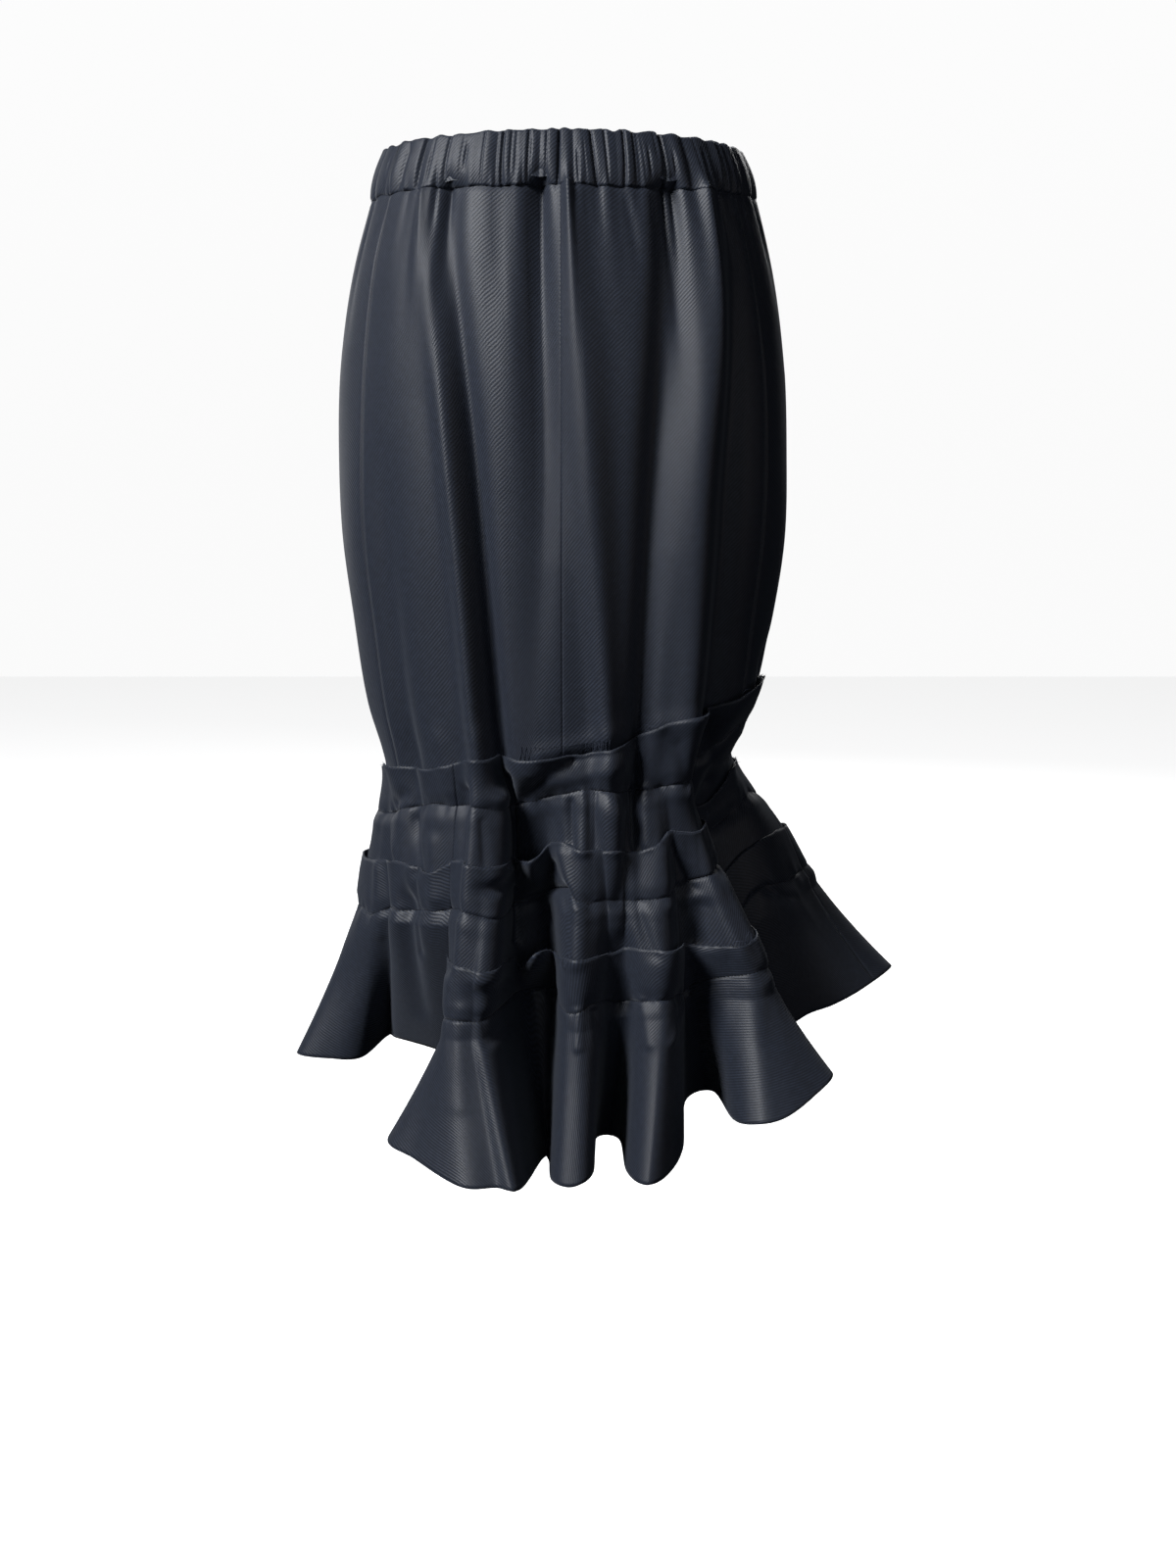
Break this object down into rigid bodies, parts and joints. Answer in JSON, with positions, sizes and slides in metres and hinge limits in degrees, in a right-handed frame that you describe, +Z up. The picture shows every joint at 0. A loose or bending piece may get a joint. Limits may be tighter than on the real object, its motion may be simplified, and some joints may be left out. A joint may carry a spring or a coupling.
{
  "type": "ruffled skirt",
  "caption": "Hollow midi skirt with a gathered elastic waistband, an egg-shaped body and one strip wound round the knee as raw-edged ruffles.",
  "frame": {"origin": "middle of the waist, at half the height of the waistband", "axes": "+Z up to the waist's top edge, front towards -Y, +X on the right of someone who looks at the front"},
  "size_m": [0.5312, 0.4496, 0.8336],
  "materials": {
    "twill": "dark charcoal twill with a soft satin face"
  },
  "bodies": {
    "root": {"waistband_front_left": "twill", "waistband_front_right": "twill", "waistband_back": "twill", "body_front_left": "twill", "body_front_right": "twill", "body_back": "twill", "ruffle_1_front": "twill", "ruffle_1_back": "twill", "ruffle_2_front": "twill", "ruffle_2_back": "twill", "ruffle_3_front": "twill"}
  },
  "joints": []
}
